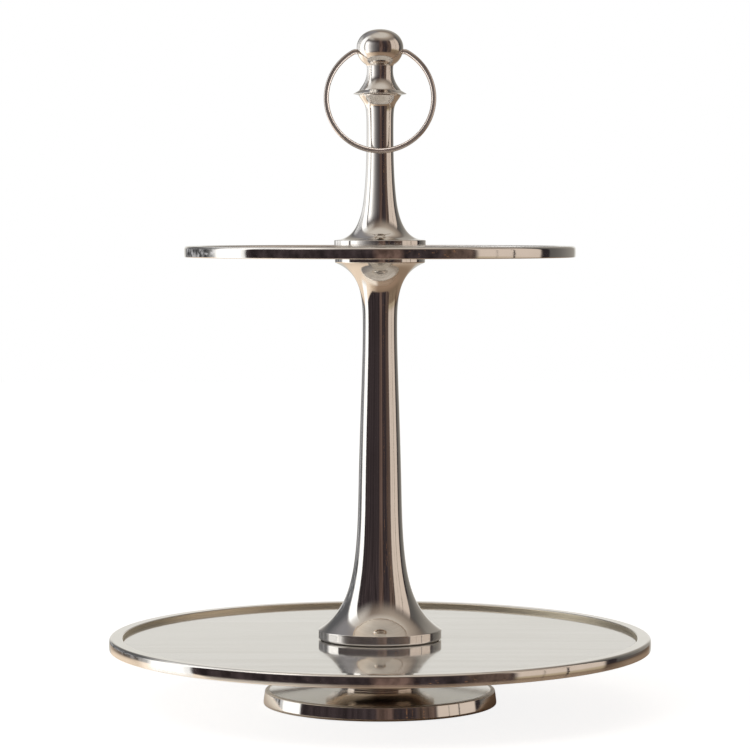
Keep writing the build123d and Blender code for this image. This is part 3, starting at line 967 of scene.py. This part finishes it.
# arc cards: light round the stand, each mirrored only by the pieces that it names; from start to end in
# degrees from the camera's side, with front as the rise at its start, and behind it a back part at backGlow
turnedPieces = [
    "footDisc", "pedestalSpool", "lowerTrayRim", "upperTrayRim", "lowerColumn", "upperStem",
    "finialCollar", "finialBall", "ringHandle",
]
framePieces = [name for name in turnedPieces if name not in ("lowerTrayRim", "footDisc")]
arcShape = dict(
    reach=1.5, steps=155, start=-90.0, end=-4.0, front=(-86.0, -83.5), edge=-77.0, fade=9.0,
    backGlow=0.0, backStart=(-157, -145), backEnd=(-108, -113), low=-0.8, high=2.1, lowSoft=0.4, highSoft=0.7,
)
arcLooks = [
    dict(
        arcShape, label="window", glow=0.335, start=-118.0, front=(-118.0, -109.0), edge=-85.0, fade=1.0,
        seenBy=turnedPieces,
    ),
    dict(arcShape, label="frame", glow=1.39, seenBy=framePieces),
    dict(arcShape, label="foot", glow=1.39, edge=-82.0, seenBy=["footDisc"]),
    dict(
        arcShape, label="high", glow=1.39, start=-158.0, front=(-81.0, -76.0), edge=-62.0, fade=15.0,
        backGlow=0.5, low=-0.5, high=1.7, lowSoft=0.5, seenBy=["upperStem", "finialCollar", "finialBall"],
    ),
    dict(
        arcShape, label="rim", glow=1.0, start=-158.0, front=(-87.0, -82.0), edge=-55.0, fade=15.0,
        backGlow=0.7, low=0.75, high=4.6, lowSoft=0.6, highSoft=0.8, seenBy=["lowerTrayRim", "upperTrayRim"],
    ),
    dict(arcShape, label="mirror", glow=1.0, fade=5.0, seenBy=["lowerTrayFloor"]),
    dict(
        arcShape, label="ring", glow=0.15, start=-178.0, end=178.0, front=(-178.0, -170.0), edge=168.0,
        fade=4.0, low=-0.3, high=1.5, lowSoft=0.2, highSoft=0.4, seenBy=["ringHandle"],
    ),
    dict(
        arcShape, label="sheet", glow=0.30, start=-72.0, end=150.0, front=(-70.0, -45.0), edge=105.0,
        fade=14.0, low=0.25, high=3.4, lowSoft=0.35, highSoft=0.9,
        seenBy=["lowerTrayFloor", "upperTrayFloor"],
    ),
]


# light linking: only the named pieces mirror this card or lamp, and the camera doesn't see it
def linkTo(source, label, names):
    source.visible_camera = source.visible_diffuse = False
    receivers = bpy.data.collections.new(label + "Receivers")
    for name in names:
        receivers.objects.link(bpy.data.objects[name])
    source.light_linking.receiver_collection = receivers


# card: a clear sheet that adds its glow, times a share, to what the named pieces mirror
def addCard(look, verts, quads, shareOf=None):
    mesh = bpy.data.meshes.new(look["label"] + "Card")
    mesh.from_pydata(verts.tolist(), [], quads.tolist())
    card = bpy.data.objects.new(look["label"] + "Card", mesh)
    scene.collection.objects.link(card)
    material, tree, shader = newMaterial(look["label"] + "CardLight")
    strength = times(tree, shareOf(look, tree), look["glow"]) if shareOf else look["glow"]
    light = addNode(tree, "ShaderNodeEmission", Strength=strength).outputs[0]
    clear = addNode(tree, "ShaderNodeBsdfTransparent").outputs[0]
    blend = addNode(tree, "ShaderNodeAddShader", i0=clear, i1=light)
    tree.links.new(blend.outputs[0], tree.nodes["Material Output"].inputs["Surface"])
    tree.nodes.remove(shader)
    mesh.materials.append(material)
    card.visible_shadow = False
    linkTo(card, look["label"], look["seenBy"])


# share of an arc card: full up to its edge, then exp(-degrees past the edge / fade), or the back part
# where that is more, eased at its foot and its top
def arcShare(look, tree):
    axes = axesOf(tree, placeOf(tree))
    angle = degreesOf(tree, turnOf(tree, axes))
    past = larger(tree, plus(tree, angle, -look["edge"]), 0.0)
    fade = mathNode(tree, "EXPONENT", mathNode(tree, "DIVIDE", past, -look["fade"]))
    front = times(tree, fade, easedRange(tree, angle, *look["front"]))
    backRise = easedRange(tree, angle, *look["backStart"], 0.0, look["backGlow"])
    back = times(tree, backRise, easedRange(tree, angle, *look["backEnd"]))
    rise = easedRange(tree, axes[2], look["low"], look["low"] + look["lowSoft"])
    fall = easedRange(tree, axes[2], look["high"], look["high"] - look["highSoft"])
    return times(tree, larger(tree, front, back), times(tree, rise, fall))


# arc: points at one reach round the stand from start to end, in two rows, low and high
def addArc(look):
    steps, reach = look["steps"], look["reach"]
    a = np.radians(np.linspace(look["start"], look["end"], steps))
    arc = np.stack([reach * np.sin(a), -reach * np.cos(a)], axis=-1)
    verts = np.vstack([np.column_stack([arc, np.full(steps, z)]) for z in (look["low"], look["high"])])
    i = np.arange(steps - 1)
    addCard(look, verts, np.stack([i, i + 1, i + 1 + steps, i + steps], axis=-1), arcShare)


for arcLook in arcLooks:
    addArc(arcLook)

# level card: a ring of light between the trays that only the upper sheet's unpolished back mirrors
levelLook = dict(
    label="level", glow=0.33, inner=0.05, outer=0.55, height=0.07, steps=64, seenBy=["upperTrayFloor"],
)


# level ring: circles of the inner and the outer radius at one height
def addLevel(look):
    a = fullTurn(look["steps"])
    circle = np.stack([np.cos(a), np.sin(a)], axis=-1)
    heights = np.full(look["steps"], look["height"])
    verts = np.vstack([np.column_stack([circle * r, heights]) for r in (look["inner"], look["outer"])])
    addCard(look, verts, gridQuads(2, look["steps"], False))


addLevel(levelLook)

# inner lamp: a small soft lamp in the middle of the ring that only the wire's inner side mirrors
innerLook = dict(power=0.06, radius=0.024, seenBy=["ringHandle"])
innerLight = bpy.data.lights.new("innerLamp", "POINT")
innerLight.energy = innerLook["power"]
innerLight.shadow_soft_size = innerLook["radius"]
innerLamp = bpy.data.objects.new("innerLamp", innerLight)
ringLean = math.radians(ringShape["lean"])
innerY = -ringShape["drop"] * math.sin(ringLean)
innerZ = ringShape["pivotZ"] - ringShape["drop"] * math.cos(ringLean)
innerLamp.location = (0.0, innerY * mm, innerZ * mm)
linkTo(innerLamp, "inner", innerLook["seenBy"])
scene.collection.objects.link(innerLamp)

# floor: pale, lit and shaded by the soft lamp, lifted to white for the camera; the metal sees it as
# a tan table near the stand, with painted light at its left side (a paler tint and a glow), which gives way
# to the room further out
floorLook = dict(
    half=4.0, colour=(0.42, 0.42, 0.42), rough=0.9, lift=0.87, liftColour=(1.0, 1.0, 1.0),
    table=(0.74, 0.585, 0.46), tablePaintedLight=(1.0, 0.93, 0.84), litSpan=(-0.02, -0.14), glow=0.45,
    tableY=-0.08, squash=1.25, tableSpan=(0.22, 0.34),
)


# colour and glow by the kind of ray, and clear for mirrored rays that meet it past the table's edge,
# whose distance is taken with Y stretched by the squash
def makePaleFloor(look):
    material, tree, shader = newMaterial("paleFloor")
    rays = addNode(tree, "ShaderNodeLightPath").outputs
    mirrored = mirroredRays(tree, rays)
    place = placeOf(tree)
    # painted light: for mirrored rays the table's left side takes a paler tint and adds a glow
    lit = easedRange(tree, axesOf(tree, place)[0], *look["litSpan"])
    tableTint = mixColour(tree, lit, look["table"], look["tablePaintedLight"])
    tree.links.new(mixColour(tree, mirrored, look["colour"], tableTint), shader.inputs["Base Color"])
    shader.inputs["Roughness"].default_value = look["rough"]
    shader.inputs["Specular IOR Level"].default_value = 0.0
    glowTint = mixColour(tree, mirrored, look["liftColour"], look["tablePaintedLight"])
    tree.links.new(glowTint, shader.inputs["Emission Color"])
    lift = times(tree, rays["Is Camera Ray"], look["lift"])
    glow = times(tree, times(tree, mirrored, lit), look["glow"])
    tree.links.new(plus(tree, lift, glow), shader.inputs["Emission Strength"])
    stretch = (1.0, look["squash"], 1.0)
    middle = (0, look["tableY"] * look["squash"], 0)
    stretched = vectorNode(tree, "MULTIPLY", place, stretch)["Vector"]
    apart = vectorNode(tree, "DISTANCE", stretched, middle)["Value"]
    past = times(tree, mirrored, easedRange(tree, apart, *look["tableSpan"]))
    clear = addNode(tree, "ShaderNodeBsdfTransparent").outputs[0]
    blend = addNode(tree, "ShaderNodeMixShader", i0=past, i1=shader.outputs[0], i2=clear)
    tree.links.new(blend.outputs[0], tree.nodes["Material Output"].inputs["Surface"])
    return material


half = floorLook["half"]
floorMesh = bpy.data.meshes.new("studioFloor")
floorCorners = [(-half, -half, 0), (half, -half, 0), (half, half, 0), (-half, half, 0)]
floorMesh.from_pydata(floorCorners, [], [(0, 1, 2, 3)])
floorMesh.materials.append(makePaleFloor(floorLook))
floorPiece = bpy.data.objects.new("studioFloor", floorMesh)
scene.collection.objects.link(floorPiece)
print("room, lamps, cards and floor set")

# camera: a little above the upper tray, pitched down slightly, long lens
cameraShape = dict(
    place=(0.0, -1.9298, 0.3144), pitch=0.0504, turn=0.0017, lens=141.35, sensor=36.0, clipStart=0.05,
)
cameraData = bpy.data.cameras.new("standCamera")
cameraData.lens = cameraShape["lens"]
cameraData.sensor_width = cameraShape["sensor"]
cameraData.clip_start = cameraShape["clipStart"]
camera = bpy.data.objects.new("standCamera", cameraData)
camera.location = cameraShape["place"]
camera.rotation_euler = (math.pi / 2 - cameraShape["pitch"], 0, cameraShape["turn"])
scene.collection.objects.link(camera)
scene.camera = camera
print("camera set")
